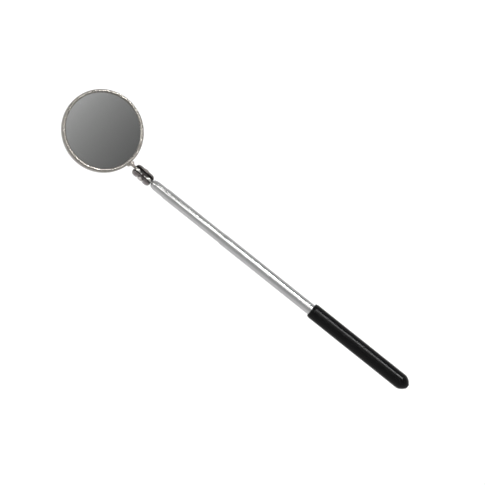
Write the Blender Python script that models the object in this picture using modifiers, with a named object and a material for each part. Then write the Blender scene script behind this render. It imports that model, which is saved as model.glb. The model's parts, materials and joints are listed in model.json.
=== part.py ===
"""A telescoping inspection mirror: a round mirror in a pressed steel case, on a double ball joint
clamped by two plates and a screw, on a two-section tube with a moulded vinyl grip.

Units are metres. The origin is the centre of the flat end of the grip, +X runs along the handle
towards the mirror, and the mirror faces +Z.
"""

import math

import bmesh
import bpy
from mathutils import Matrix

# Grip and tubes: stations are distances along X from the end of the grip.
GRIP_LENGTH = 0.085
GRIP_RADIUS = 0.0055
GRIP_BORE_RADIUS = 0.00405
GRIP_FLOOR = 0.0075
GRIP_TIP_RADIUS = 0.0015
# Shares of the grip's radius, with the distance from its front edge or from its end.
GRIP_FRONT_ROUNDING = ((0.86, 0), (0.93, 0.0003), (0.975, 0.0009), (1, 0.0019))
GRIP_END_TAPER = ((1, 0.0053), (0.92, 0.0038), (0.74, 0.0023), (0.49, 0.001))

TUBE_RADIUS = 0.00397
TUBE_BORE_RADIUS = 0.00379
TUBE_MOUTH_RADIUS = 0.003755
TUBE_START = 0.0078
TUBE_MOUTH = 0.1635
TUBE_ROLL = 0.0005

PLUG_LENGTH = 0.007
PLUG_RADIUS = 0.0037
PLUG_CUP_RADIUS = 0.0026
PLUG_FLOOR = 0.0015

INNER_RADIUS = 0.00372
INNER_WALL = 0.0003
INNER_TAIL = 0.084
INNER_NECK_RADIUS = 0.00305
INNER_FLARE = 0.0005
NOSE_RADIUS = 0.00345
NOSE_START = 0.2136
NOSE_SHOULDER = 0.2216
NOSE_TIP = 0.2256
NOSE_CLOSING = 0.00155

SHOE_LENGTH = 0.012
SHOE_INNER_RADIUS = 0.00315
SHOE_OUTER_RADIUS = 0.003765
SHOE_CHAMFER = 0.0002
SHOE_ARC = math.radians(160)

# Ball joint: the two balls lie between a pair of plates, which one screw clamps.
BALL_RADIUS = 0.002778
BALL_BORE_RADIUS = 0.0008
BALL_BORE_DEPTH = 0.003
TENON_RADIUS = 0.00075
SHANK_NECK_RADIUS = 0.00095
TENON_LENGTH = 0.0028
BALL_SPACING = 0.0091
REAR_BALL_STATION = 0.2292
SEAT_RADIUS = 0.00286
PLATE_END_RADIUS = 0.00315
PLATE_FACE = 0.0013
PLATE_TOP = 0.0042
PLATE_ROUNDING = 0.0023
SADDLE_HEIGHT = 0.00255
SADDLE_HALF_LENGTH = 0.00262
SCREW_RADIUS = 0.00125
SCREW_HOLE_RADIUS = 0.00132
SCREW_HEAD_RADIUS = 0.00235
SCREW_HEAD_TOP = 0.0043
SCREW_END = 0.00485
SLOT_WIDTH = 0.0007
SLOT_DEPTH = 0.0005
NUT_ACROSS_FLATS = 0.005
NUT_TOP = 0.0042
WASHER_RADIUS = 0.0022
WASHER_THICKNESS = 0.00045
JOINT_GAP = 0.00005

# Mirror head, in its own frame: the origin is the middle of the case, +Z is the way that it faces
# and the front ball lies on the -X side.
HEAD_REACH = 0.0368
CASE_RADIUS = 0.02915
CASE_LIP_RADIUS = 0.0267
CASE_SHEET = 0.0005
CASE_BACK = -0.00235
CASE_CREST = 0.00235
GLASS_RADIUS = 0.0284
GLASS_FACE = 0.00155
GLASS_THICKNESS = 0.0024
GLASS_CHAMFER = 0.0004
PAD_RADIUS = 0.0282
PAD_TOP = -0.001
PAD_BOTTOM = -0.0017
PAD_HOLE_RADIUS = 0.0019
STRAP_WIDTH = 0.005
STRAP_THICKNESS = 0.0007
STRAP_INNER_END = -0.008
STRAP_TOP = CASE_BACK - 0.0001
EAR_INNER_FACE = -0.02985
EAR_TOP = 0.0021
STRAP_BEND_RADIUS = 0.0011
RIVET_STATIONS = (-0.0125, -0.0235)
RIVET_RADIUS = 0.00095
RIVET_HOLE_RADIUS = 0.00105
STEM_RADIUS = 0.00115
STEM_NECK_RADIUS = 0.0009
STEM_FLANGE_RADIUS = 0.0018
STEM_PEEN_RADIUS = 0.0014
RIVET_HEAD_RADIUS = 0.0017
RIVET_FLAT_RADIUS = 0.0015

# How the joint is set: angles about the screw's axis and across the plates.
REAR_ROCK = math.radians(-2.5)
FRONT_ROCK = math.radians(-5.3)
FRONT_SWING = math.radians(-8.2)

FINE_STEPS = 64
TUBE_STEPS = 32
SMALL_STEPS = 20

MODEL = "inspection_mirror"


def clear_scene():
    for obj in list(bpy.data.objects):
        bpy.data.objects.remove(obj, do_unlink=True)


def new_collection(name):
    collection = bpy.data.collections.new(name)
    bpy.context.scene.collection.children.link(collection)
    return collection


clear_scene()
PARTS = new_collection(MODEL)
CUTTERS = new_collection(MODEL + "_cutters")


def make_material(name, colour, roughness, metallic):
    material = bpy.data.materials.new(name)
    material.use_nodes = True
    shader = material.node_tree.nodes["Principled BSDF"]
    shader.inputs["Base Color"].default_value = (*colour, 1.0)
    shader.inputs["Roughness"].default_value = roughness
    shader.inputs["Metallic"].default_value = metallic
    return material


SILVERED_GLASS = make_material("silvered_glass", (0.42, 0.42, 0.41), 0.04, 1.0)
NICKEL = make_material("nickel_plate", (0.66, 0.63, 0.58), 0.28, 1.0)
BRIGHT_STEEL = make_material("bright_steel", (0.74, 0.74, 0.74), 0.24, 1.0)
DARK_STEEL = make_material("dark_steel", (0.24, 0.22, 0.21), 0.34, 1.0)
BALL_STEEL = make_material("ball_steel", (0.62, 0.60, 0.58), 0.18, 1.0)
BRASS = make_material("brass", (0.72, 0.55, 0.26), 0.35, 1.0)
BLACK_VINYL = make_material("black_vinyl", (0.012, 0.012, 0.013), 0.32, 0.0)
FIBRE = make_material("grey_fibre", (0.32, 0.29, 0.25), 0.9, 0.0)
NYLON = make_material("white_nylon", (0.78, 0.77, 0.73), 0.5, 0.0)


def place(obj, parent=None, location=(0, 0, 0), rotation=(0, 0, 0), cutter=False):
    """Puts an object in its collection, at a place given in its parent's frame."""
    (CUTTERS if cutter else PARTS).objects.link(obj)
    obj.parent = parent
    obj.location = location
    obj.rotation_euler = rotation
    if cutter:
        obj.hide_render = True
        obj.display_type = "WIRE"
    return obj


def finish_mesh(obj, material):
    """Gives an object its material and smooth round faces."""
    obj.data.materials.clear()
    obj.data.materials.append(material)
    obj.data.shade_smooth()
    obj.data.set_sharp_from_angle(angle=math.radians(30))


ALONG_X = (0, math.radians(90), 0)
ALONG_Y = (math.radians(-90), 0, 0)
AGAINST_Y = (math.radians(90), 0, 0)


def turned_mesh(name, profile, steps):
    """A ring or solid of revolution about Z, from (radius, height) points that run from the inside
    over the top, down the outer side and back along the bottom."""
    mesh = bpy.data.meshes.new(name)
    closed = profile[0] == profile[-1]
    points = profile[:-1] if closed else profile
    count = len(points)
    edges = [(i, i + 1) for i in range(count - 1)]
    if closed:
        edges.append((count - 1, 0))
    mesh.from_pydata([(radius, 0, height) for radius, height in points], edges, [])
    turning = bpy.data.objects.new(name, mesh)
    CUTTERS.objects.link(turning)
    screw = turning.modifiers.new("turn", "SCREW")
    screw.steps = steps
    screw.render_steps = steps
    screw.use_merge_vertices = True
    screw.merge_threshold = 0.000001
    result = applied_mesh(turning)
    result.name = name
    return result


def applied_mesh(obj):
    """The mesh of an object with its modifiers applied. The object itself is removed."""
    graph = bpy.context.evaluated_depsgraph_get()
    mesh = bpy.data.meshes.new_from_object(obj.evaluated_get(graph))
    bpy.data.objects.remove(obj, do_unlink=True)
    return mesh


def turned(name, profile, material, steps=TUBE_STEPS, **where):
    obj = place(bpy.data.objects.new(name, turned_mesh(name, profile, steps)), **where)
    finish_mesh(obj, material)
    return obj


def rod_cutter(name, radius, start, end, steps=SMALL_STEPS, **where):
    """A round cutter along its own Z, from start to end."""
    profile = [(0, end), (radius, end), (radius, start), (0, start)]
    return place(bpy.data.objects.new(name, turned_mesh(name, profile, steps)), cutter=True, **where)


def cut(obj, cutters):
    """Cuts each cutter out of an object and leaves the modifiers on it."""
    for cutter in cutters:
        boolean = obj.modifiers.new(cutter.name, "BOOLEAN")
        boolean.operation = "DIFFERENCE"
        boolean.object = cutter


def block(name, size, height):
    """A box object of a given size, with its middle at a height on its own Z axis."""
    mesh = bpy.data.meshes.new(name)
    shape = bmesh.new()
    bmesh.ops.create_cube(shape, size=1)
    bmesh.ops.scale(shape, vec=size, verts=shape.verts)
    bmesh.ops.translate(shape, vec=(0, 0, height), verts=shape.verts)
    shape.to_mesh(mesh)
    shape.free()
    return bpy.data.objects.new(name, mesh)


def outline_mesh(name, points, thickness):
    """A flat outline in XY, thickened evenly about Z = 0."""
    curve = bpy.data.curves.new(name, "CURVE")
    curve.dimensions = "2D"
    curve.fill_mode = "BOTH"
    curve.extrude = thickness / 2
    spline = curve.splines.new("POLY")
    spline.points.add(len(points) - 1)
    for point, (x, y) in zip(spline.points, points):
        point.co = (x, y, 0, 1)
    spline.use_cyclic_u = True
    holder = bpy.data.objects.new(name, curve)
    CUTTERS.objects.link(holder)
    mesh = applied_mesh(holder)
    shape = bmesh.new()
    shape.from_mesh(mesh)
    bmesh.ops.remove_doubles(shape, verts=shape.verts, dist=0.000001)
    shape.to_mesh(mesh)
    shape.free()
    mesh.name = name
    return mesh


def arc(centre, radius, start, end, steps):
    """Points on an arc, with angles in degrees."""
    angles = [math.radians(start + (end - start) * i / steps) for i in range(steps + 1)]
    return [(centre[0] + radius * math.cos(a), centre[1] + radius * math.sin(a)) for a in angles]


# ---------------------------------------------------------------- handle


def make_grip():
    """The moulded sleeve, closed at its end, where it narrows to a small flat."""
    profile = [(0, GRIP_FLOOR), (GRIP_BORE_RADIUS, GRIP_FLOOR), (GRIP_BORE_RADIUS, GRIP_LENGTH)]
    profile += [(share * GRIP_RADIUS, GRIP_LENGTH - back) for share, back in GRIP_FRONT_ROUNDING]
    profile += [(share * GRIP_RADIUS, station) for share, station in GRIP_END_TAPER]
    profile += [(GRIP_TIP_RADIUS, 0), (0, 0)]
    turned("vinyl_grip", profile, BLACK_VINYL, rotation=ALONG_X)


def make_outer_tube():
    """The fixed tube section. Its mouth is rolled in to hold the sliding section."""
    edge_break = 0.0001
    profile = [
        (TUBE_BORE_RADIUS, TUBE_START),
        (TUBE_BORE_RADIUS, TUBE_MOUTH - 2 * TUBE_ROLL),
        (TUBE_MOUTH_RADIUS, TUBE_MOUTH - TUBE_ROLL),
        (TUBE_MOUTH_RADIUS, TUBE_MOUTH),
        (TUBE_RADIUS - edge_break, TUBE_MOUTH),
        (TUBE_RADIUS, TUBE_MOUTH - TUBE_ROLL / 2),
        (TUBE_RADIUS, TUBE_START),
        (TUBE_BORE_RADIUS, TUBE_START),
    ]
    turned("outer_tube", profile, BRIGHT_STEEL, rotation=ALONG_X)


def make_end_plug():
    """The cupped plug that closes the tube inside the grip."""
    set_in = 0.0002
    lead = 0.0006
    start = TUBE_START + set_in
    end = start + PLUG_LENGTH
    profile = [
        (0, start + PLUG_FLOOR),
        (PLUG_CUP_RADIUS, start + PLUG_FLOOR),
        (PLUG_CUP_RADIUS, end),
        (PLUG_RADIUS - lead / 2, end),
        (PLUG_RADIUS, end - lead),
        (PLUG_RADIUS, start),
        (0, start),
    ]
    turned("tube_end_plug", profile, NYLON, steps=SMALL_STEPS, rotation=ALONG_X)


# ---------------------------------------------------------------- sliding section


def make_inner_tube():
    """The sliding tube: a flared tail with a neck for the shoes, and a nose closed on the shank."""
    neck_end = INNER_TAIL + 0.0022 + SHOE_LENGTH
    flare_end = INNER_TAIL + 0.001
    outer = [
        (NOSE_RADIUS - NOSE_CLOSING, NOSE_TIP),
        (NOSE_RADIUS - 0.00085, NOSE_TIP - 0.0006),
        (NOSE_RADIUS - 0.00022, NOSE_TIP - 0.0022),
        (NOSE_RADIUS, NOSE_SHOULDER),
        (NOSE_RADIUS, NOSE_START + 0.0004),
        (INNER_RADIUS, NOSE_START),
        (INNER_RADIUS, neck_end + 0.0008),
        (INNER_NECK_RADIUS, neck_end),
        (INNER_NECK_RADIUS, flare_end + 0.0008),
        (INNER_NECK_RADIUS + INNER_FLARE, flare_end),
        (INNER_NECK_RADIUS + INNER_FLARE, INNER_TAIL),
    ]
    inner = [(radius - INNER_WALL, station) for radius, station in reversed(outer)]
    inner[-1] = (outer[0][0] - INNER_WALL, NOSE_TIP)
    inner[-2] = (outer[1][0] - INNER_WALL - 0.0001, NOSE_TIP - 0.0008)
    turned("inner_tube", inner + outer + inner[:1], BRIGHT_STEEL, rotation=ALONG_X)


def make_shank():
    """The turned plug in the tube's nose, with a tenon that the rear ball is pressed on."""
    bore = NOSE_RADIUS - INNER_WALL
    body_radius = bore - 0.0001
    exit_radius = NOSE_RADIUS - NOSE_CLOSING - INNER_WALL - 0.0002
    tenon_end = REAR_BALL_STATION - BALL_RADIUS + TENON_LENGTH
    shoulder = REAR_BALL_STATION - BALL_RADIUS - JOINT_GAP
    groove = NOSE_SHOULDER - 0.006
    profile = [
        (0, tenon_end),
        (TENON_RADIUS, tenon_end),
        (TENON_RADIUS, shoulder),
        (SHANK_NECK_RADIUS, shoulder),
        (SHANK_NECK_RADIUS + 0.0001, NOSE_TIP + 0.0003),
        (exit_radius, NOSE_TIP - 0.0003),
        (exit_radius, NOSE_TIP - 0.0012),
        (bore - 0.0007, NOSE_SHOULDER + 0.0009),
        (body_radius, NOSE_SHOULDER - 0.0004),
        (body_radius, groove + 0.001),
        (body_radius - 0.0004, groove + 0.0006),
        (body_radius - 0.0004, groove - 0.0006),
        (body_radius, groove - 0.001),
        (body_radius, NOSE_START + 0.0012),
        (body_radius - 0.0005, NOSE_START + 0.0007),
        (0, NOSE_START + 0.0007),
    ]
    turned("ball_shank", profile, BRIGHT_STEEL, steps=24, rotation=ALONG_X)


def make_friction_shoes():
    """Two half sleeves that ride on the neck of the sliding tube and drag on the fixed one."""
    start = INNER_TAIL + 0.002
    profile = [
        (SHOE_INNER_RADIUS, start + SHOE_LENGTH),
        (SHOE_OUTER_RADIUS - SHOE_CHAMFER, start + SHOE_LENGTH),
        (SHOE_OUTER_RADIUS, start + SHOE_LENGTH - 3 * SHOE_CHAMFER),
        (SHOE_OUTER_RADIUS, start + 3 * SHOE_CHAMFER),
        (SHOE_OUTER_RADIUS - SHOE_CHAMFER, start),
        (SHOE_INNER_RADIUS, start),
        (SHOE_INNER_RADIUS, start + SHOE_LENGTH),
    ]
    spare = (math.pi - SHOE_ARC) / 2
    for name, first_angle in (("friction_shoe_left", spare), ("friction_shoe_right", math.pi + spare)):
        mesh = bpy.data.meshes.new(name)
        count = len(profile) - 1
        points = [(radius, 0, height) for radius, height in profile[:-1]]
        mesh.from_pydata(points, [(i, (i + 1) % count) for i in range(count)], [range(count)])
        shape = bmesh.new()
        shape.from_mesh(mesh)
        bmesh.ops.spin(
            shape,
            geom=shape.faces[:] + shape.edges[:] + shape.verts[:],
            cent=(0, 0, 0),
            axis=(0, 0, 1),
            angle=SHOE_ARC,
            steps=14,
            use_merge=False,
            use_duplicate=False,
        )
        bmesh.ops.holes_fill(shape, edges=[edge for edge in shape.edges if edge.is_boundary])
        bmesh.ops.recalc_face_normals(shape, faces=shape.faces)
        bmesh.ops.rotate(shape, verts=shape.verts, matrix=Matrix.Rotation(first_angle, 3, "Z"))
        shape.to_mesh(mesh)
        shape.free()
        obj = place(bpy.data.objects.new(name, mesh), rotation=ALONG_X)
        finish_mesh(obj, BRASS)


# ---------------------------------------------------------------- balls and clamp


def ball_profile():
    """A ball at the origin with a blind bore from its bottom pole up."""
    mouth = math.asin(BALL_BORE_RADIUS / BALL_RADIUS)
    rounds = 12
    points = []
    for i in range(rounds + 1):
        angle = (math.pi - mouth) * i / rounds
        points.append((BALL_RADIUS * math.sin(angle), BALL_RADIUS * math.cos(angle)))
    floor = -BALL_RADIUS + BALL_BORE_DEPTH
    points += [(BALL_BORE_RADIUS, floor), (0, floor)]
    return points


def obround(half_spacing, radius, steps):
    """The outline round two circles, a spacing apart along X."""
    right = arc((half_spacing, 0), radius, -90, 90, steps)
    left = arc((-half_spacing, 0), radius, 90, 270, steps)
    return right + left


def plate_mesh(name):
    """A clamp plate before it is cut: an obround block with its outer edges well rounded."""
    mesh = outline_mesh(name, obround(BALL_SPACING / 2, PLATE_END_RADIUS, 12), PLATE_TOP - PLATE_FACE)
    shape = bmesh.new()
    shape.from_mesh(mesh)
    bmesh.ops.translate(shape, verts=shape.verts, vec=(0, 0, (PLATE_TOP + PLATE_FACE) / 2))
    bmesh.ops.dissolve_limit(shape, angle_limit=0.001, verts=shape.verts, edges=shape.edges)
    middle = (PLATE_TOP + PLATE_FACE) / 2
    top_edges = [edge for edge in shape.edges if all(vert.co.z > middle for vert in edge.verts)]
    bmesh.ops.bevel(
        shape,
        geom=top_edges,
        offset=PLATE_ROUNDING,
        offset_type="OFFSET",
        segments=5,
        profile=0.5,
        affect="EDGES",
    )
    shape.to_mesh(mesh)
    shape.free()
    return mesh


def plate_cutters(side, parent, rotation):
    """The two ball seats, the screw hole and the saddle for the nut or the screw's head."""
    cutters = []
    for end, offset in (("rear", 0), ("front", BALL_SPACING)):
        bpy.ops.mesh.primitive_uv_sphere_add(segments=32, ring_count=16, radius=SEAT_RADIUS)
        seat = bpy.context.object
        seat.name = side + "_seat_" + end
        for collection in list(seat.users_collection):
            collection.objects.unlink(seat)
        cutters.append(place(seat, parent=parent, location=(offset, 0, 0), rotation=rotation, cutter=True))
    middle = (BALL_SPACING / 2, 0, 0)
    cutters.append(rod_cutter(side + "_screw_hole", SCREW_HOLE_RADIUS, 0, 2 * PLATE_TOP, steps=24,
                              parent=parent, location=middle, rotation=rotation))
    saddle_size = (2 * SADDLE_HALF_LENGTH, 4 * PLATE_END_RADIUS, PLATE_TOP)
    saddle = block(side + "_saddle", saddle_size, SADDLE_HEIGHT + PLATE_TOP / 2)
    cutters.append(place(saddle, parent=parent, location=middle, rotation=rotation, cutter=True))
    return cutters


def make_clamp(rear_joint):
    """The plates, screw, washer and nut, in the frame of the rear joint."""
    middle = (BALL_SPACING / 2, 0, 0)
    for side, rotation in (("nut_side", AGAINST_Y), ("head_side", ALONG_Y)):
        name = "clamp_plate_" + side
        plate = place(bpy.data.objects.new(name, plate_mesh(name)), parent=rear_joint,
                      location=middle, rotation=rotation)
        cut(plate, plate_cutters(side, rear_joint, rotation))
        finish_mesh(plate, DARK_STEEL)
    head_bottom = SADDLE_HEIGHT + 2 * JOINT_GAP + WASHER_THICKNESS
    head_rounding = 0.0007
    point = 0.0003
    screw_profile = [
        (0, SCREW_HEAD_TOP),
        (SCREW_HEAD_RADIUS * 0.55, SCREW_HEAD_TOP),
        (SCREW_HEAD_RADIUS * 0.86, SCREW_HEAD_TOP - head_rounding * 0.36),
        (SCREW_HEAD_RADIUS, SCREW_HEAD_TOP - head_rounding),
        (SCREW_HEAD_RADIUS, head_bottom),
        (SCREW_RADIUS, head_bottom),
        (SCREW_RADIUS, -SCREW_END + point),
        (SCREW_RADIUS - point, -SCREW_END),
        (0, -SCREW_END),
    ]
    screw = turned("clamp_screw", screw_profile, NICKEL, steps=24, parent=rear_joint, location=middle,
                   rotation=ALONG_Y)
    slot = block("screw_slot", (SLOT_WIDTH, 3 * SCREW_HEAD_RADIUS, 2 * SLOT_DEPTH), SCREW_HEAD_TOP)
    cut(screw, [place(slot, parent=rear_joint, location=middle, rotation=ALONG_Y, cutter=True)])
    washer_bottom = SADDLE_HEIGHT + JOINT_GAP
    washer_top = washer_bottom + WASHER_THICKNESS
    washer_profile = [
        (SCREW_HOLE_RADIUS, washer_bottom),
        (SCREW_HOLE_RADIUS, washer_top),
        (WASHER_RADIUS, washer_top),
        (WASHER_RADIUS, washer_bottom),
        (SCREW_HOLE_RADIUS, washer_bottom),
    ]
    turned("lock_washer", washer_profile, NICKEL, steps=24, parent=rear_joint, location=middle,
           rotation=ALONG_Y)
    make_nut(rear_joint, middle)


def make_nut(rear_joint, middle):
    """The hexagon nut, with its flats along the sides of the saddle."""
    corner_radius = NUT_ACROSS_FLATS / 2 / math.cos(math.radians(30))
    bottom = SADDLE_HEIGHT + JOINT_GAP
    mesh = bpy.data.meshes.new("clamp_nut")
    shape = bmesh.new()
    bmesh.ops.create_cone(shape, cap_ends=True, segments=6, radius1=corner_radius,
                          radius2=corner_radius, depth=NUT_TOP - bottom)
    bmesh.ops.translate(shape, verts=shape.verts, vec=(0, 0, (NUT_TOP + bottom) / 2))
    shape.to_mesh(mesh)
    shape.free()
    nut = place(bpy.data.objects.new("clamp_nut", mesh), parent=rear_joint, location=middle,
                rotation=AGAINST_Y)
    cut(nut, [rod_cutter("nut_thread", SCREW_HOLE_RADIUS, 0, 2 * NUT_TOP, steps=24, parent=rear_joint,
                         location=middle, rotation=AGAINST_Y)])
    finish_mesh(nut, NICKEL)


# ---------------------------------------------------------------- mirror head


def make_case(head):
    """The pressed cup: a flat back, an upright wall and a lip rolled over the edge of the glass."""
    floor = CASE_BACK + CASE_SHEET
    wall = CASE_RADIUS - CASE_SHEET
    lip_under = GLASS_FACE + 0.0002
    profile = [
        (0, floor),
        (wall - 0.0005, floor),
        (wall, floor + 0.0005),
        (wall, GLASS_FACE - 0.0003),
        (wall - 0.0004, lip_under + 0.0001),
        (wall - 0.0011, lip_under + 0.0002),
        (CASE_LIP_RADIUS, lip_under),
        (CASE_LIP_RADIUS + 0.00005, lip_under + 0.0003),
        (CASE_LIP_RADIUS + 0.0005, CASE_CREST - 0.00005),
        (CASE_LIP_RADIUS + 0.0012, CASE_CREST),
        (CASE_RADIUS - 0.0006, CASE_CREST - 0.00015),
        (CASE_RADIUS - 0.00015, CASE_CREST - 0.0006),
        (CASE_RADIUS, CASE_CREST - 0.00115),
        (CASE_RADIUS, CASE_BACK + 0.0009),
        (CASE_RADIUS - 0.00025, CASE_BACK + 0.00025),
        (CASE_RADIUS - 0.0009, CASE_BACK),
        (0, CASE_BACK),
    ]
    case = turned("mirror_case", profile, NICKEL, steps=FINE_STEPS, parent=head)
    cut(case, rivet_cutters("case_hole_", RIVET_HOLE_RADIUS, head))


def rivet_cutters(prefix, radius, head):
    """Round cutters through the back of the head, one at each rivet."""
    return [
        rod_cutter(prefix + str(i + 1), radius, -0.005, -GLASS_FACE + 0.0007, steps=16, parent=head,
                   location=(station, 0, 0))
        for i, station in enumerate(RIVET_STATIONS)
    ]


def make_glass_and_pad(head):
    """The silvered glass and the fibre pad that beds it in the case."""
    glass_back = GLASS_FACE - GLASS_THICKNESS
    glass_profile = [
        (0, GLASS_FACE),
        (GLASS_RADIUS - GLASS_CHAMFER, GLASS_FACE),
        (GLASS_RADIUS, GLASS_FACE - GLASS_CHAMFER),
        (GLASS_RADIUS, glass_back),
        (0, glass_back),
    ]
    turned("mirror_glass", glass_profile, SILVERED_GLASS, steps=FINE_STEPS, parent=head)
    pad_profile = [(0, PAD_TOP), (PAD_RADIUS, PAD_TOP), (PAD_RADIUS, PAD_BOTTOM), (0, PAD_BOTTOM)]
    pad = turned("backing_pad", pad_profile, FIBRE, steps=32, parent=head)
    cut(pad, rivet_cutters("pad_hole_", PAD_HOLE_RADIUS, head))


def make_bracket(head):
    """The strap riveted across the back, bent up at the rim into an ear that carries the stem."""
    top = STRAP_TOP
    bottom = STRAP_TOP - STRAP_THICKNESS
    ear_inner = EAR_INNER_FACE
    ear_outer = EAR_INNER_FACE - STRAP_THICKNESS
    inner_bend = STRAP_BEND_RADIUS - STRAP_THICKNESS
    bend_centre = (ear_inner + inner_bend, top + inner_bend)
    outline = [(STRAP_INNER_END, bottom), (STRAP_INNER_END, top)]
    outline += arc(bend_centre, inner_bend, 270, 180, 4)
    outline += [(ear_inner, EAR_TOP), (ear_outer, EAR_TOP)]
    outline += arc(bend_centre, STRAP_BEND_RADIUS, 180, 270, 6)
    outline.reverse()
    mesh = outline_mesh("stem_bracket", outline, STRAP_WIDTH)
    bracket = place(bpy.data.objects.new("stem_bracket", mesh), parent=head, rotation=AGAINST_Y)
    cutters = rivet_cutters("strap_hole_", RIVET_HOLE_RADIUS, head)
    cutters.append(rod_cutter("ear_hole", RIVET_HOLE_RADIUS, ear_outer - 0.001, ear_inner + 0.001,
                              steps=16, parent=head, rotation=ALONG_X))
    cut(bracket, cutters)
    finish_mesh(bracket, NICKEL)


def make_rivets(head):
    """The rivets through strap and case, with a low head outside and a flat one under the pad."""
    inner_top = PAD_TOP - 0.0004
    inner_bottom = CASE_BACK + CASE_SHEET + JOINT_GAP
    outer_top = STRAP_TOP - STRAP_THICKNESS - JOINT_GAP
    profile = [
        (0, inner_top),
        (RIVET_FLAT_RADIUS - 0.0002, inner_top),
        (RIVET_FLAT_RADIUS, inner_top - 0.0001),
        (RIVET_FLAT_RADIUS, inner_bottom),
        (RIVET_RADIUS, inner_bottom),
        (RIVET_RADIUS, outer_top),
        (RIVET_HEAD_RADIUS, outer_top),
        (RIVET_HEAD_RADIUS - 0.0001, outer_top - 0.00025),
        (RIVET_HEAD_RADIUS - 0.0007, outer_top - 0.0005),
        (0, outer_top - 0.0006),
    ]
    for i, station in enumerate(RIVET_STATIONS):
        turned("bracket_rivet_" + str(i + 1), profile, NICKEL, steps=16, parent=head,
               location=(station, 0, 0))


def make_stem(head):
    """The stem: a tenon in the front ball, a neck, a flange against the ear and a peened end."""
    ball_face = -HEAD_REACH + BALL_RADIUS
    ear_outer = EAR_INNER_FACE - STRAP_THICKNESS
    peen_top = EAR_INNER_FACE + 0.0004
    flange_face = ear_outer - 0.0007
    profile = [
        (0, peen_top),
        (STEM_NECK_RADIUS, peen_top),
        (STEM_PEEN_RADIUS, peen_top - 0.0002),
        (STEM_PEEN_RADIUS, EAR_INNER_FACE + JOINT_GAP),
        (RIVET_RADIUS, EAR_INNER_FACE + JOINT_GAP),
        (RIVET_RADIUS, ear_outer - JOINT_GAP),
        (STEM_FLANGE_RADIUS, ear_outer - JOINT_GAP),
        (STEM_FLANGE_RADIUS, flange_face),
        (STEM_RADIUS, flange_face - 0.0003),
        (STEM_RADIUS, ball_face + 0.0009),
        (STEM_NECK_RADIUS, ball_face + 0.0006),
        (STEM_NECK_RADIUS, ball_face + JOINT_GAP),
        (TENON_RADIUS, ball_face + JOINT_GAP),
        (TENON_RADIUS, ball_face - TENON_LENGTH),
        (0, ball_face - TENON_LENGTH),
    ]
    turned("mirror_stem", profile, NICKEL, steps=SMALL_STEPS, parent=head, rotation=ALONG_X)


def make_empty(name, parent=None, location=(0, 0, 0), rotation=(0, 0, 0)):
    return place(bpy.data.objects.new(name, None), parent=parent, location=location, rotation=rotation)


make_grip()
make_outer_tube()
make_end_plug()
make_inner_tube()
make_shank()
make_friction_shoes()

rear_joint = make_empty("rear_joint", location=(REAR_BALL_STATION, 0, 0), rotation=(0, 0, REAR_ROCK))
front_turn = Matrix.Rotation(FRONT_SWING, 3, "Y") @ Matrix.Rotation(FRONT_ROCK, 3, "Z")
front_joint = make_empty("front_joint", parent=rear_joint, location=(BALL_SPACING, 0, 0),
                         rotation=front_turn.to_euler())
mirror_head = make_empty("mirror_head", parent=front_joint, location=(HEAD_REACH, 0, 0))

turned("rear_ball", ball_profile(), BALL_STEEL, steps=24, location=(REAR_BALL_STATION, 0, 0),
       rotation=ALONG_X)
turned("front_ball", ball_profile(), BALL_STEEL, steps=24, parent=front_joint,
       rotation=(0, math.radians(-90), 0))
make_clamp(rear_joint)
make_case(mirror_head)
make_glass_and_pad(mirror_head)
make_bracket(mirror_head)
make_rivets(mirror_head)
make_stem(mirror_head)
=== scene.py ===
"""The looks of a telescoping inspection mirror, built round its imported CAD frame.

Lengths are metres in the row frame: +X along the handle towards the mirror, and the mirror faces +Z.
"""

import json
import math

import bmesh
import bpy
from mathutils import Matrix, Vector, noise


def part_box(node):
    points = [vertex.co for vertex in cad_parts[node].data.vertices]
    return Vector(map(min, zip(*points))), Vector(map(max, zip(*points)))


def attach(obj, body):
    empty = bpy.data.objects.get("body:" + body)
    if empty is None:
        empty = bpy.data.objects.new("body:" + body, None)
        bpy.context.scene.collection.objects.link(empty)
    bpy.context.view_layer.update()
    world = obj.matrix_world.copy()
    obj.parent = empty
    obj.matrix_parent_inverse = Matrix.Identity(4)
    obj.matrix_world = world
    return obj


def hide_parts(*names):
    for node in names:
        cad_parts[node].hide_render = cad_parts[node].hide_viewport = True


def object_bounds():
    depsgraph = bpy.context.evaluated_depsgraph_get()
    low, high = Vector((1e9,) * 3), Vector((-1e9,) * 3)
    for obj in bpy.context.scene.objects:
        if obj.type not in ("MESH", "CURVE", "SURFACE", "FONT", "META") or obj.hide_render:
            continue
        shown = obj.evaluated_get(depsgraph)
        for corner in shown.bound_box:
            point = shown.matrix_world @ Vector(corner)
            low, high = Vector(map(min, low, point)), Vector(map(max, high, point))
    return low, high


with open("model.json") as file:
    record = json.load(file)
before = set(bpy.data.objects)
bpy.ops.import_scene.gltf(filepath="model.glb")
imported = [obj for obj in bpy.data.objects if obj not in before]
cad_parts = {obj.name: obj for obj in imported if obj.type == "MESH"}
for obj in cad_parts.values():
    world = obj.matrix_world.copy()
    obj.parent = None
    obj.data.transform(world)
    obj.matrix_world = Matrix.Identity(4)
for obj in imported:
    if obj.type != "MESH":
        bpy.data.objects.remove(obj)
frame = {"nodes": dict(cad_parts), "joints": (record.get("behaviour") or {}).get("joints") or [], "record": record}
cad_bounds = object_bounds()

MM = 0.001

# ---------------------------------------------------------------- places read from the frame

JOINTS = {joint["name"]: joint for joint in frame["joints"]}
MOUNTS = {mount["name"]: mount for mount in frame["record"]["mounts"]}


def axes_matrix(x_axis, z_axis, origin):
    """A frame from its X axis, the way that its Z axis leans, and its origin."""
    x = x_axis.normalized()
    y = z_axis.cross(x).normalized()
    z = x.cross(y)
    turn = Matrix((x, y, z)).transposed().to_4x4()
    return Matrix.Translation(origin) @ turn


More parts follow.
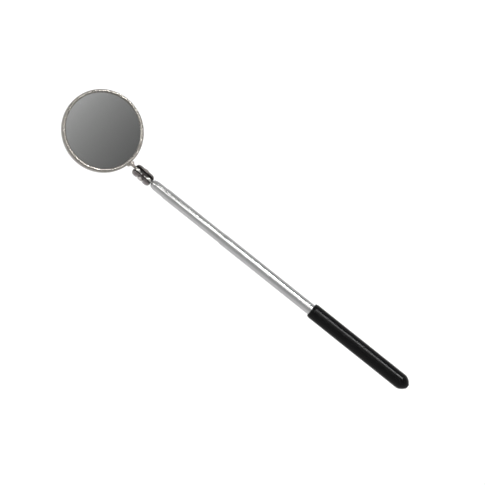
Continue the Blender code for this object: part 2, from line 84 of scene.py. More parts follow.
REAR_BALL = Vector(JOINTS["rear_swing"]["pos_m"])
FRONT_BALL = Vector(JOINTS["front_swing"]["pos_m"])
SCREW_AXIS = Vector(JOINTS["rear_swing"]["axis"]).normalized()
STEM_AXIS = Vector(JOINTS["mirror_spin"]["axis"]).normalized()
FACE_NORMAL = Vector(MOUNTS["mirror_face"]["axis"]).normalized()
FACE_CENTRE = Vector(MOUNTS["mirror_face"]["pos_m"])

BALL_SPACING = (FRONT_BALL - REAR_BALL).length
ALONG_CLAMP = (FRONT_BALL - REAR_BALL).normalized()
CLAMP_MIDDLE = (REAR_BALL + FRONT_BALL) / 2

HANDLE = Matrix.Identity(4)
HEAD = axes_matrix(STEM_AXIS, FACE_NORMAL, FACE_CENTRE)
STEM_DROP = -(FRONT_BALL - FACE_CENTRE).dot(FACE_NORMAL)
HEAD_REACH = -(FRONT_BALL - FACE_CENTRE).dot(STEM_AXIS)
STEM = axes_matrix(STEM_AXIS, FACE_NORMAL, FRONT_BALL)
REAR = Matrix.Translation(REAR_BALL)


def clamp_frame(side):
    """A frame at the middle of the clamp with Z out along the screw, on the +Y (1) or -Y (-1) side."""
    return axes_matrix(ALONG_CLAMP, SCREW_AXIS * side, CLAMP_MIDDLE)


GRIP_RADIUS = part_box("vinyl_grip")[1].z
GRIP_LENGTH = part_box("vinyl_grip")[1].x
TUBE_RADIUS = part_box("outer_tube")[1].z
TUBE_START, TUBE_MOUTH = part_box("outer_tube")[0].x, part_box("outer_tube")[1].x
INNER_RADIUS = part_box("inner_tube")[1].z
INNER_TAIL, NOSE_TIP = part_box("inner_tube")[0].x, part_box("inner_tube")[1].x
BALL_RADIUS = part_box("front_ball")[1].z - FRONT_BALL.z

# ---------------------------------------------------------------- sizes of the fine shapes

GRIP_SKIN_RELIEF = 0.03 * MM
GRIP_END_WALL = 7.5 * MM
GRIP_BORE_GAP = 0.08 * MM
TUBE_WALL = 0.18 * MM
MOUTH_GAP = 0.035 * MM
INNER_WALL = 0.3 * MM
NOSE_RADIUS = 3.45 * MM
NOSE_LENGTH = 12 * MM
NOSE_TAPER = 4 * MM
INNER_NECK_RADIUS = 3.05 * MM
INNER_NECK_LENGTH = 14.2 * MM
INNER_FLARE = 0.5 * MM

BALL_BORE_RADIUS = 0.8 * MM
BALL_BORE_DEPTH = 3 * MM
TENON_RADIUS = 0.75 * MM
TENON_LENGTH = 2.8 * MM
TENON_SHOULDER_GAP = 0.06 * MM

PLATE_END_RADIUS = 3.15 * MM
PLATE_FACE = 1.3 * MM
PLATE_TOP = 4.2 * MM
PLATE_ROUNDING = 2.3 * MM
SADDLE_HEIGHT = 2.55 * MM
SADDLE_HALF_LENGTH = 2.62 * MM
SADDLE_ROUNDING = 0.3 * MM
SEAT_RADIUS = 2.86 * MM
SCREW_RADIUS = 1.25 * MM
SCREW_HOLE_RADIUS = 1.32 * MM
SCREW_HEAD_RADIUS = 2.35 * MM
SCREW_HEAD_TOP = 4.3 * MM
SCREW_END = 4.85 * MM
SCREW_PITCH = 0.45 * MM
THREAD_DEPTH = 0.1674 * MM
SLOT_WIDTH = 0.7 * MM
SLOT_DEPTH = 0.55 * MM
NUT_ACROSS_FLATS = 5 * MM
NUT_TOP = 4.2 * MM
NUT_CHAMFER = 0.28 * MM
WASHER_RADIUS = 2.2 * MM
WASHER_THICKNESS = 0.45 * MM
WASHER_TWIST = 0.08 * MM
WASHER_SPLIT_HALF_ANGLE = 8
FIT_GAP = 0.05 * MM

# Heights in the head's frame are from the face of the glass.
CASE_RADIUS = 29.15 * MM
LIP_RADIUS = 26.7 * MM
CREST = 0.8 * MM
CASE_BACK = -3.9 * MM
CASE_SHEET = 0.5 * MM
GLASS_RADIUS = 28.4 * MM
GLASS_THICKNESS = 2.4 * MM
STRAP_GAP = 0.1 * MM
STRAP_WIDTH = 5 * MM
STRAP_THICKNESS = 0.7 * MM
STRAP_INNER_END = -8 * MM
STRAP_BEND = 0.75 * MM
EAR_INNER_FACE = -29.85 * MM
EAR_TOP = 0.55 * MM
RIVET_STATIONS = (-12.5 * MM, -23.5 * MM)
RIVET_RADIUS = 0.95 * MM
RIVET_HOLE_RADIUS = 1.05 * MM
RIVET_HEAD_RADIUS = 1.5 * MM
STEM_RADIUS = 1.15 * MM
STEM_NECK_RADIUS = 0.9 * MM
STEM_FLANGE_RADIUS = 1.8 * MM

# ---------------------------------------------------------------- mesh tools


def filleted(corners, steps=5):
    """A profile through (station, radius, rounding) corners, each rounded over that length."""
    points = []
    for i, (station, radius, rounding) in enumerate(corners):
        here = Vector((station, radius))
        if rounding == 0 or i in (0, len(corners) - 1):
            points.append(here)
            continue
        before, after = (Vector(corners[j][:2]) - here for j in (i - 1, i + 1))
        start = here + before.normalized() * min(rounding, before.length * 0.499)
        end = here + after.normalized() * min(rounding, after.length * 0.499)
        for k in range(steps + 1):
            t = k / steps
            points.append(start * (1 - t) ** 2 + here * 2 * t * (1 - t) + end * t ** 2)
    return points


def divided(points, longest):
    """The same profile with no stretch longer than that."""
    made = [points[0]]
    for a, b in zip(points, points[1:]):
        count = max(1, math.ceil((b - a).length / longest))
        made += [a.lerp(b, (k + 1) / count) for k in range(count)]
    return made


def lathe(name, points, steps=96, axis="X", ripple=None):
    """A closed turned mesh about X or Z. The profile ends on the axis at both ends, or is a ring.
    ripple(station, angle) is added to the radius."""
    ring = (points[0] - points[-1]).length < 1e-9
    points = points[:-1] if ring else points
    shape = bmesh.new()
    rows = []
    for station, radius in points:
        if radius < 1e-9:
            rows.append([shape.verts.new(turned_point(station, 0, 0, axis))])
            continue
        row = []
        for k in range(steps):
            angle = math.tau * k / steps
            r = radius + (ripple(station, angle) if ripple else 0)
            row.append(shape.verts.new(turned_point(station, r, angle, axis)))
        rows.append(row)
    pairs = list(zip(rows, rows[1:]))
    if ring:
        pairs.append((rows[-1], rows[0]))
    for a, b in pairs:
        for k in range(steps):
            n = (k + 1) % steps
            corners = [a[k % len(a)], a[n % len(a)], b[n % len(b)], b[k % len(b)]]
            unique = list(dict.fromkeys(corners))
            if len(unique) > 2:
                shape.faces.new(unique)
    return closed_mesh(name, shape)


def turned_point(station, radius, angle, axis):
    across, up = radius * math.cos(angle), radius * math.sin(angle)
    return (station, across, up) if axis == "X" else (across, up, station)


def closed_mesh(name, shape):
    bmesh.ops.recalc_face_normals(shape, faces=shape.faces)
    mesh = bpy.data.meshes.new(name)
    shape.to_mesh(mesh)
    shape.free()
    return mesh


def new_object(name, mesh, matrix):
    obj = bpy.data.objects.new(name, mesh)
    bpy.context.scene.collection.objects.link(obj)
    obj.matrix_world = matrix
    return obj


def apply_modifiers(obj):
    graph = bpy.context.evaluated_depsgraph_get()
    mesh = bpy.data.meshes.new_from_object(obj.evaluated_get(graph))
    obj.modifiers.clear()
    obj.data = mesh


def combine(obj, cutters, operation="DIFFERENCE"):
    """Cuts objects out of a piece, or keeps what they share with it, and removes them."""
    for cutter in cutters:
        boolean = obj.modifiers.new(cutter.name, "BOOLEAN")
        boolean.operation = operation
        boolean.object = cutter
        boolean.solver = "EXACT"
    bpy.context.view_layer.update()
    apply_modifiers(obj)
    for cutter in cutters:
        bpy.data.objects.remove(cutter, do_unlink=True)


def soften_edges(obj, width, segments=2, angle=35):
    """Breaks the sharp edges, as tumbling and plating leave them."""
    bevel = obj.modifiers.new("soften", "BEVEL")
    bevel.width = width
    bevel.segments = segments
    bevel.limit_method = "ANGLE"
    bevel.angle_limit = math.radians(angle)
    bevel.use_clamp_overlap = True
    apply_modifiers(obj)


def rod(name, radius, start, end, matrix, steps=48, axis="Z"):
    profile = [Vector(p) for p in ((start, 0), (start, radius), (end, radius), (end, 0))]
    return new_object(name, lathe(name, profile, steps, axis), matrix)


def block(name, size, centre, matrix):
    shape = bmesh.new()
    bmesh.ops.create_cube(shape, size=1)
    bmesh.ops.scale(shape, vec=size, verts=shape.verts)
    bmesh.ops.translate(shape, vec=centre, verts=shape.verts)
    return new_object(name, closed_mesh(name, shape), matrix)


def finish_piece(obj, body, nodes, material, sharp=40):
    """Gives a piece its material, shading and CAD body, and hides the CAD nodes that it stands for."""
    obj.data.materials.clear()
    obj.data.materials.append(material)
    obj.data.shade_smooth()
    obj.data.set_sharp_from_angle(angle=math.radians(sharp))
    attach(obj, body)
    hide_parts(*nodes)


# ---------------------------------------------------------------- materials

# Painted shade in the gap between the clamp plates: its near-black colour, how far it fades and how uneven its
# edge is.
GAP_SHADE_COLOUR = (0.006, 0.004, 0.004)
GAP_SHADE_FADE = 0.45 * MM
GAP_SHADE_UNEVENNESS = 0.25 * MM
METAL_RELIEF = 0.004 * MM
BALL_RELIEF = 0.003 * MM
VINYL_RELIEF = 0.03 * MM


def set_range(node, low, high, to_low, to_high):
    names = ("From Min", "From Max", "To Min", "To Max")
    for name, number in zip(names, (low, high, to_low, to_high)):
        node.inputs[name].default_value = number


class Shader:
    """A Principled material with a few ways to add procedural detail to it."""

    def __init__(self, name, **inputs):
        self.material = bpy.data.materials.new(name)
        self.material.use_nodes = True
        self.tree = self.material.node_tree
        self.surface = self.tree.nodes["Principled BSDF"]
        for key, value in inputs.items():
            self.surface.inputs[key.replace("_", " ")].default_value = value
        self.place = self.tree.nodes.new("ShaderNodeTexCoord").outputs["Object"]

    def node(self, kind, **settings):
        made = self.tree.nodes.new("ShaderNode" + kind)
        for key, value in settings.items():
            setattr(made, key, value)
        return made

    def join(self, source, target):
        self.tree.links.new(source, target)

    def scaled(self, scale):
        """The place on the piece, stretched by a scale for each axis."""
        mapping = self.node("Mapping")
        mapping.inputs["Scale"].default_value = scale
        self.join(self.place, mapping.inputs["Vector"])
        return mapping.outputs["Vector"]

    def noise(self, scale, detail=4, roughness=0.55, stretch=(1, 1, 1)):
        texture = self.node("TexNoise")
        texture.inputs["Scale"].default_value = scale
        texture.inputs["Detail"].default_value = detail
        texture.inputs["Roughness"].default_value = roughness
        self.join(self.scaled(stretch), texture.inputs["Vector"])
        return texture.outputs["Fac"]

    def spread(self, value, low, high, to_low, to_high):
        """A value's stretch from low to high, spread over a new range."""
        ranged = self.node("MapRange", clamp=True)
        set_range(ranged, low, high, to_low, to_high)
        self.join(value, ranged.inputs["Value"])
        return ranged.outputs["Result"]

    def math(self, operation, a, b):
        made = self.node("Math", operation=operation)
        for value, socket in ((a, made.inputs[0]), (b, made.inputs[1])):
            if isinstance(value, (int, float)):
                socket.default_value = value
            else:
                self.join(value, socket)
        return made.outputs["Value"]

    def mix(self, share, colour_a, colour_b):
        made = self.node("Mix", data_type="RGBA")
        for value, name in ((share, 0), (colour_a, 6), (colour_b, 7)):
            if isinstance(value, tuple):
                made.inputs[name].default_value = (*value, 1)
            elif isinstance(value, (int, float)):
                made.inputs[name].default_value = value
            else:
                self.join(value, made.inputs[name])
        return made.outputs[2]

    def around_axis(self, axis):
        """The distance from the piece's own X or Z axis."""
        split = self.node("SeparateXYZ")
        self.join(self.place, split.inputs[0])
        across = split.outputs["Y"] if axis == "X" else split.outputs["X"]
        up = split.outputs["Z"] if axis == "X" else split.outputs["Y"]
        squares = self.math("ADD", self.math("MULTIPLY", across, across), self.math("MULTIPLY", up, up))
        return self.math("SQRT", squares, 0)

    def edges(self, low, high):
        """Near 1 on worn outer edges and 0 elsewhere."""
        geometry = self.node("NewGeometry")
        return self.spread(geometry.outputs["Pointiness"], low, high, 0, 1)

    def colour(self, value):
        self.join(value, self.surface.inputs["Base Color"])

    def roughness(self, value):
        self.join(value, self.surface.inputs["Roughness"])

    def bump(self, height, distance, strength=1.0):
        bump = self.node("Bump")
        bump.inputs["Distance"].default_value = distance
        bump.inputs["Strength"].default_value = strength
        self.join(height, bump.inputs["Height"])
        self.join(bump.outputs["Normal"], self.surface.inputs["Normal"])


def tube_metal(name, colour, low_rough, high_rough):
    """Drawn and plated tube: fine lines along it, faint smears and small scratches round it."""
    shader = Shader(name, Metallic=1.0)
    lines = shader.noise(1, 5, 0.6, (9, 2600, 2600))
    smears = shader.noise(110, 3)
    scratches = shader.noise(1, 3, 0.7, (2200, 120, 120))
    mixed = shader.math("ADD", shader.math("MULTIPLY", lines, 0.6),
                        shader.math("MULTIPLY", smears, 0.4))
    shader.roughness(shader.spread(mixed, 0.35, 0.65, low_rough, high_rough))
    darker = tuple(c * 0.92 for c in colour)
    shader.colour(shader.mix(shader.spread(smears, 0.35, 0.7, 0, 1), colour, darker))
    relief = shader.math("ADD", lines, shader.math("MULTIPLY", scratches, 0.25))
    shader.bump(relief, METAL_RELIEF, 0.28)
    return shader.material


def plated_metal(name, colour, shade, low_rough, high_rough, spin_axis=None, gap_shade_height=None):
    """Nickel plate with cloudy tarnish, worn edges, spin lines on pressed rounds and, below a height
    on a clamp plate, painted shade: the gap between the plates darkened towards black."""
    shader = Shader(name, Metallic=1.0)
    clouds = shader.noise(420, 5, 0.62)
    specks = shader.noise(3800, 3, 0.5)
    worn = shader.edges(0.51, 0.58)
    tarnish = shader.mix(shader.spread(clouds, 0.38, 0.66, 0, 1), colour, shade)
    bright = tuple(min(1, c * 1.25) for c in colour)
    plated = shader.mix(shader.math("MULTIPLY", worn, 0.5), tarnish, bright)
    rough = shader.spread(clouds, 0.3, 0.7, low_rough, high_rough)
    # Painted shade: below the given height the plate's colour is taken towards near black, standing in for the
    # shadow in the gap between the plates.
    if gap_shade_height:
        split = shader.node("SeparateXYZ")
        shader.join(shader.place, split.inputs[0])
        uneven = shader.spread(clouds, 0.3, 0.7, -GAP_SHADE_UNEVENNESS, GAP_SHADE_UNEVENNESS)
        height = shader.math("ADD", split.outputs["Z"], uneven)
        gap_shade = shader.spread(height, gap_shade_height, gap_shade_height + GAP_SHADE_FADE, 1, 0)
        plated = shader.mix(gap_shade, plated, GAP_SHADE_COLOUR)
        rough = shader.math("ADD", rough, shader.math("MULTIPLY", gap_shade, 0.3))
    shader.colour(plated)
    shader.roughness(rough)
    relief = shader.math("MULTIPLY", specks, 0.4)
    if spin_axis:
        rings = shader.node("TexNoise", noise_dimensions="1D")
        rings.inputs["Scale"].default_value = 4200
        rings.inputs["Detail"].default_value = 4
        shader.join(shader.around_axis(spin_axis), rings.inputs["W"])
        relief = shader.math("ADD", relief, shader.math("MULTIPLY", rings.outputs["Fac"], 0.6))
    shader.bump(relief, METAL_RELIEF, 0.4)
    return shader.material


def silvered_glass():
    """Second-surface mirror: a clear reflection under a coat of glass, with faint dust and wipes."""
    shader = Shader("silvered_glass_look", Metallic=1.0, Coat_Weight=0.6, Coat_Roughness=0.015,
                    Coat_IOR=1.5)
    wipes = shader.noise(1, 4, 0.6, (60, 260, 60))
    dust = shader.spread(shader.noise(5200, 2, 0.5), 0.70, 0.78, 0, 1)
    dusty = shader.math("MULTIPLY", dust, 0.35)
    shader.colour(shader.mix(dusty, (0.80, 0.81, 0.80), (0.62, 0.62, 0.60)))
    rough = shader.spread(wipes, 0.35, 0.75, 0.012, 0.045)
    shader.roughness(shader.math("ADD", rough, shader.math("MULTIPLY", dust, 0.1)))
    return shader.material


def moulded_vinyl():
    """Glossy black vinyl with the slight unevenness of a dipped skin, dust and light scuffs."""
    shader = Shader("black_vinyl_look", IOR=1.2)
    skin = shader.noise(260, 3, 0.5)
    grain = shader.noise(5200, 3, 0.55)
    scuffs = shader.spread(shader.noise(1, 4, 0.7, (180, 900, 900)), 0.6, 0.75, 0, 1)
    scuffed = shader.math("MULTIPLY", scuffs, 0.35)
    shader.colour(shader.mix(scuffed, (0.0035, 0.0035, 0.0037), (0.009, 0.009, 0.009)))
    base = shader.spread(skin, 0.3, 0.7, 0.18, 0.25)
    shader.roughness(shader.math("ADD", base, shader.math("MULTIPLY", scuffs, 0.12)))
    relief = shader.math("ADD", skin, shader.math("MULTIPLY", grain, 0.12))
    shader.bump(relief, VINYL_RELIEF, 0.6)
    return shader.material


def polished_ball():
    """Polished steel with rings burnished by the seats."""
    shader = Shader("polished_ball_look", Metallic=1.0)
    marks = shader.noise(1, 4, 0.6, (500, 4200, 500))
    haze = shader.noise(900, 4)
    hazy = shader.spread(haze, 0.4, 0.7, 0, 1)
    shader.colour(shader.mix(hazy, (0.74, 0.72, 0.70), (0.56, 0.53, 0.50)))
    shader.roughness(shader.spread(marks, 0.3, 0.7, 0.07, 0.2))
    shader.bump(marks, BALL_RELIEF, 0.5)
    return shader.material


def plain_grained(name, colour, shade, scale, low_rough, high_rough, metallic=0.0,
                  stretch=(1, 1, 1), depth=0.02 * MM):
    """A material for the hidden pieces: two tones mixed by grain, with matching relief."""
    shader = Shader(name, Metallic=metallic)
    grain = shader.noise(scale, 5, 0.6, stretch)
    shader.colour(shader.mix(shader.spread(grain, 0.35, 0.65, 0, 1), colour, shade))
    shader.roughness(shader.spread(grain, 0.3, 0.7, low_rough, high_rough))
    shader.bump(grain, depth, 0.6)
    return shader.material


TUBE_METAL = tube_metal("plated_tube_look", (0.43, 0.43, 0.43), 0.22, 0.27)
INNER_METAL = tube_metal("inner_tube_look", (0.44, 0.44, 0.437), 0.21, 0.26)
CASE_METAL = plated_metal("case_nickel_look", (0.27, 0.257, 0.236), (0.20, 0.186, 0.166),
                          0.24, 0.33, spin_axis="Z")
FITTING_METAL = plated_metal("fitting_nickel_look", (0.46, 0.43, 0.40), (0.30, 0.275, 0.25),
                             0.18, 0.3)
# The clamp plates get painted shade below 2.1 mm, darkening the gap between them.
CLAMP_METAL = plated_metal("clamp_steel_look", (0.28, 0.26, 0.255), (0.10, 0.083, 0.083),
                           0.12, 0.22, gap_shade_height=2.1 * MM)
SCREW_METAL = plated_metal("screw_steel_look", (0.50, 0.475, 0.46), (0.28, 0.25, 0.24),
                           0.14, 0.26)
BALL_METAL = polished_ball()
GLASS = silvered_glass()
VINYL = moulded_vinyl()
BRASS = plain_grained("shoe_brass_look", (0.72, 0.53, 0.24), (0.50, 0.35, 0.14), 900, 0.22, 0.4,
                      metallic=1.0, stretch=(0.1, 1, 1))
NYLON = plain_grained("plug_nylon_look", (0.78, 0.77, 0.72), (0.66, 0.64, 0.58), 1400, 0.4, 0.6)
FIBRE = plain_grained("pad_fibre_look", (0.36, 0.33, 0.29), (0.20, 0.18, 0.15), 2600, 0.85, 0.98,
                      depth=0.08 * MM)

# ---------------------------------------------------------------- handle


def dipped_skin(station, angle):
    """The slow unevenness of a vinyl skin, a few hundredths of a millimetre."""
    place = Vector((station * 60, math.cos(angle) * 1.3, math.sin(angle) * 1.3))
    fade = min(1, station / (6 * MM))
    return GRIP_SKIN_RELIEF * noise.noise(place) * fade


def make_grip():
    bore = TUBE_RADIUS + GRIP_BORE_GAP
    corners = [
        (GRIP_END_WALL, 0, 0),
        (GRIP_END_WALL, bore, 0.3 * MM),
        (GRIP_LENGTH, bore, 0.12 * MM),
        (GRIP_LENGTH, GRIP_RADIUS * 0.9, 0.35 * MM),
        (GRIP_LENGTH - 1.5 * MM, GRIP_RADIUS, 1.2 * MM),
        (4.9 * MM, GRIP_RADIUS, 1.6 * MM),
        (1.9 * MM, GRIP_RADIUS * 0.68, 1.5 * MM),
        (0, 1.5 * MM, 0.45 * MM),
        (0, 0, 0),
    ]
    profile = divided(filleted(corners, 7), 1.2 * MM)
    grip = new_object("grip", lathe("grip", profile, 96, ripple=dipped_skin), HANDLE)
    finish_piece(grip, "handle", ["vinyl_grip"], VINYL)


def make_outer_tube():
    bore = TUBE_RADIUS - TUBE_WALL
    mouth_bore = INNER_RADIUS + MOUTH_GAP
    corners = [
        (TUBE_START, bore, 0),
        (TUBE_MOUTH - 1.6 * MM, bore, 0.3 * MM),
        (TUBE_MOUTH - 0.9 * MM, mouth_bore, 0.2 * MM),
        (TUBE_MOUTH, mouth_bore, 0.05 * MM),
        (TUBE_MOUTH, TUBE_RADIUS - 0.1 * MM, 0.05 * MM),
        (TUBE_MOUTH - 0.3 * MM, TUBE_RADIUS, 0.2 * MM),
        (TUBE_START, TUBE_RADIUS, 0),
        (TUBE_START, bore, 0),
    ]
    tube = new_object("tube_outer", lathe("tube_outer", filleted(corners), 128), HANDLE)
    finish_piece(tube, "handle", ["outer_tube"], TUBE_METAL)


def make_inner_tube():
    """The sliding tube: a necked tail for the shoes, flared at its end, and a swaged nose."""
    neck = INNER_NECK_RADIUS
    flare = neck + INNER_FLARE
    neck_end = INNER_TAIL + INNER_NECK_LENGTH
    nose_start = NOSE_TIP - NOSE_LENGTH
    outer = [
        (NOSE_TIP, NOSE_RADIUS - 1.5 * MM, 0.2 * MM),
        (NOSE_TIP - 0.6 * MM, NOSE_RADIUS - 0.85 * MM, 0.4 * MM),
        (NOSE_TIP - 2.2 * MM, NOSE_RADIUS - 0.22 * MM, 0.8 * MM),
        (NOSE_TIP - NOSE_TAPER, NOSE_RADIUS, 0.8 * MM),
        (nose_start + 0.5 * MM, NOSE_RADIUS, 0.3 * MM),
        (nose_start, INNER_RADIUS, 0.3 * MM),
        (neck_end + 0.8 * MM, INNER_RADIUS, 0.3 * MM),
        (neck_end, neck, 0.3 * MM),
        (INNER_TAIL + 1.8 * MM, neck, 0.3 * MM),
        (INNER_TAIL + 1 * MM, flare, 0.3 * MM),
        (INNER_TAIL, flare, 0.1 * MM),
    ]
    inner = [(station, radius - INNER_WALL, rounding)
             for station, radius, rounding in reversed(outer)]
    corners = inner + outer + inner[:1]
    tube = new_object("tube_inner", lathe("tube_inner", filleted(corners), 128), HANDLE)
    finish_piece(tube, "inner_section", ["inner_tube"], INNER_METAL)


def make_shank():
    """The turned plug in the nose, its neck and the tenon in the rear ball."""
    ball_face = -BALL_RADIUS
    tip = NOSE_TIP - REAR_BALL.x
    bore = NOSE_RADIUS - INNER_WALL - 0.1 * MM
    tail = tip - NOSE_LENGTH + 0.7 * MM
    groove = tip - 10 * MM
    corners = [
        (ball_face + TENON_LENGTH, 0, 0),
        (ball_face + TENON_LENGTH, TENON_RADIUS, 0.1 * MM),
        (ball_face - TENON_SHOULDER_GAP, TENON_RADIUS, 0),
        (ball_face - TENON_SHOULDER_GAP, 0.95 * MM, 0.06 * MM),
        (tip + 0.3 * MM, 1.05 * MM, 0.2 * MM),
        (tip - 0.1 * MM, 1.38 * MM, 0.15 * MM),
        (tip - 1.2 * MM, 1.4 * MM, 0.2 * MM),
        (tip - 3.1 * MM, bore - 0.6 * MM, 0.3 * MM),
        (tip - 4.4 * MM, bore, 0.3 * MM),
        (groove + 1 * MM, bore, 0.1 * MM),
        (groove + 0.6 * MM, bore - 0.4 * MM, 0.1 * MM),
        (groove - 0.6 * MM, bore - 0.4 * MM, 0.1 * MM),
        (groove - 1 * MM, bore, 0.1 * MM),
        (tail, bore, 0.4 * MM),
        (tail, 0, 0),
    ]
    shank = new_object("shank", lathe("shank", filleted(corners, 4), 64), REAR)
    finish_piece(shank, "inner_section", ["ball_shank"], INNER_METAL)


# ---------------------------------------------------------------- balls and clamp


def ball_mesh(name, side):
    """A ball with its bore opening on the -X (-1) or +X (1) side."""
    rounds = 40
    mouth = math.asin(BALL_BORE_RADIUS / BALL_RADIUS)
    sweep = [mouth + (math.pi - mouth) * i / rounds for i in range(rounds + 1)]
    outside = [Vector((side * BALL_RADIUS * math.cos(a), BALL_RADIUS * math.sin(a))) for a in sweep]
    outside[-1].y = 0
    bore_end = side * (BALL_RADIUS - BALL_BORE_DEPTH)
    return lathe(name, [Vector((bore_end, 0)), Vector((bore_end, BALL_BORE_RADIUS))] + outside, 64)


def make_balls():
    rear = new_object("ball_rear", ball_mesh("ball_rear", -1), REAR)
    finish_piece(rear, "inner_section", ["rear_ball"], BALL_METAL)
    front = new_object("ball_front", ball_mesh("ball_front", 1), STEM)
    finish_piece(front, "front_pivot", ["front_ball"], BALL_METAL)


def obround_block(name, matrix):
    """A clamp plate's outside: an obround whose outer edges are rounded into a low dome."""
    arc_steps = 28
    rounding_steps = 10
    half = BALL_SPACING / 2
    shape = bmesh.new()
    levels = [(PLATE_FACE, 0), (PLATE_TOP - PLATE_ROUNDING, 0)]
    for k in range(1, rounding_steps + 1):
        angle = math.radians(90 * k / rounding_steps)
        height = PLATE_TOP - PLATE_ROUNDING * (1 - math.sin(angle))
        levels.append((height, PLATE_ROUNDING * (1 - math.cos(angle))))
    rows = []
    for height, inset in levels:
        radius = PLATE_END_RADIUS - inset
        row = []
        for centre, first in ((half, -90), (-half, 90)):
            for k in range(arc_steps + 1):
                angle = math.radians(first + 180 * k / arc_steps)
                place = (centre + radius * math.cos(angle), radius * math.sin(angle), height)
                row.append(shape.verts.new(place))
        rows.append(row)
    count = len(rows[0])
    for a, b in zip(rows, rows[1:]):
        for k in range(count):
            n = (k + 1) % count
            shape.faces.new((a[k], a[n], b[n], b[k]))
    shape.faces.new(rows[0])
    shape.faces.new(rows[-1])
    return new_object(name, closed_mesh(name, shape), matrix)


def sphere_cutter(name, centre, matrix):
    rounds = 32
    sweep = [math.pi * i / rounds for i in range(rounds + 1)]
    points = [Vector((SEAT_RADIUS * math.cos(a), SEAT_RADIUS * math.sin(a))) for a in sweep]
    points[0].y = points[-1].y = 0
    return new_object(name, lathe(name, points, 64), matrix @ Matrix.Translation((centre, 0, 0)))


def make_plates():
    """The two clamp plates, with seats for the balls and a lowered saddle round the screw."""
    for label, side in (("nut", -1), ("head", 1)):
        matrix = clamp_frame(side)
        plate = obround_block("plate_" + label, matrix)
        saddle_size = (2 * SADDLE_HALF_LENGTH, 4 * PLATE_END_RADIUS, PLATE_TOP)
        saddle = block("saddle", saddle_size, (0, 0, SADDLE_HEIGHT + PLATE_TOP / 2), matrix)
        saddle_edges = saddle.modifiers.new("round", "BEVEL")
        saddle_edges.width = SADDLE_ROUNDING
        saddle_edges.segments = 3
        combine(plate, [
            sphere_cutter("seat_front", BALL_SPACING / 2, matrix),
            sphere_cutter("seat_rear", -BALL_SPACING / 2, matrix),
            rod("screw_way", SCREW_HOLE_RADIUS, 0, 2 * PLATE_TOP, matrix),
            saddle,
        ])
        soften_edges(plate, 0.09 * MM)
        finish_piece(plate, "ball_clamp", ["clamp_plate_" + label + "_side"], CLAMP_METAL)


def thread_depth(station, angle):
    """How far a V thread of the screw's pitch is cut in at a place on it."""
    turn = (station / SCREW_PITCH - angle / math.tau) % 1
    return -THREAD_DEPTH * (1 - abs(2 * turn - 1))


def make_screw():
    """The clamp screw, with its thread and its slotted head."""
    matrix = clamp_frame(1)
    under_head = SADDLE_HEIGHT + 2 * FIT_GAP + WASHER_THICKNESS
    corners = [
        (-SCREW_END, 0, 0),
        (-SCREW_END, SCREW_RADIUS - 0.3 * MM, 0.05 * MM),
        (-SCREW_END + 0.3 * MM, SCREW_RADIUS, 0.05 * MM),
        (under_head - 0.15 * MM, SCREW_RADIUS, 0.05 * MM),
        (under_head, SCREW_RADIUS + 0.05 * MM, 0.05 * MM),
        (under_head, SCREW_HEAD_RADIUS, 0.12 * MM),
        (SCREW_HEAD_TOP - 0.55 * MM, SCREW_HEAD_RADIUS, 0.3 * MM),
        (SCREW_HEAD_TOP - 0.05 * MM, SCREW_HEAD_RADIUS * 0.72, 0.5 * MM),
        (SCREW_HEAD_TOP, 0, 0),
    ]
    profile = divided(filleted(corners), SCREW_PITCH / 8)

    def ripple(station, angle):
        in_thread = -SCREW_END + 0.3 * MM < station < under_head - 0.6 * MM
        return thread_depth(station, angle) if in_thread else 0

    screw = new_object("screw", lathe("screw", profile, 64, "Z", ripple), matrix)
    slot_size = (SLOT_WIDTH, 3 * SCREW_HEAD_RADIUS, 2 * SLOT_DEPTH)
    combine(screw, [block("slot", slot_size, (0, 0, SCREW_HEAD_TOP), matrix)])
    finish_piece(screw, "ball_clamp", ["clamp_screw"], SCREW_METAL)


def make_lock_washer():
    """A split spring washer, its ends a little apart and out of line."""
    matrix = clamp_frame(1)
    low = SADDLE_HEIGHT + FIT_GAP
    high = low + WASHER_THICKNESS - WASHER_TWIST
    inner, outer = SCREW_HOLE_RADIUS, WASHER_RADIUS
    edge = 0.06 * MM
    section = [
        (inner, low + edge), (inner + edge, low), (outer - edge, low), (outer, low + edge),
        (outer, high - edge), (outer - edge, high), (inner + edge, high), (inner, high - edge),
    ]
    shape = bmesh.new()
    steps = 84
    rows = []
    for k in range(steps + 1):
        share = k / steps
        angle = math.radians(WASHER_SPLIT_HALF_ANGLE + (360 - 2 * WASHER_SPLIT_HALF_ANGLE) * share)
        lift = WASHER_TWIST * share
        rows.append([shape.verts.new((r * math.cos(angle), r * math.sin(angle), z + lift))
                     for r, z in section])
    count = len(section)
    for a, b in zip(rows, rows[1:]):
        for k in range(count):
            n = (k + 1) % count
            shape.faces.new((a[k], a[n], b[n], b[k]))
    shape.faces.new(rows[0])
    shape.faces.new(rows[-1])
    washer = new_object("washer", closed_mesh("washer", shape), matrix)
    finish_piece(washer, "ball_clamp", ["lock_washer"], SCREW_METAL)


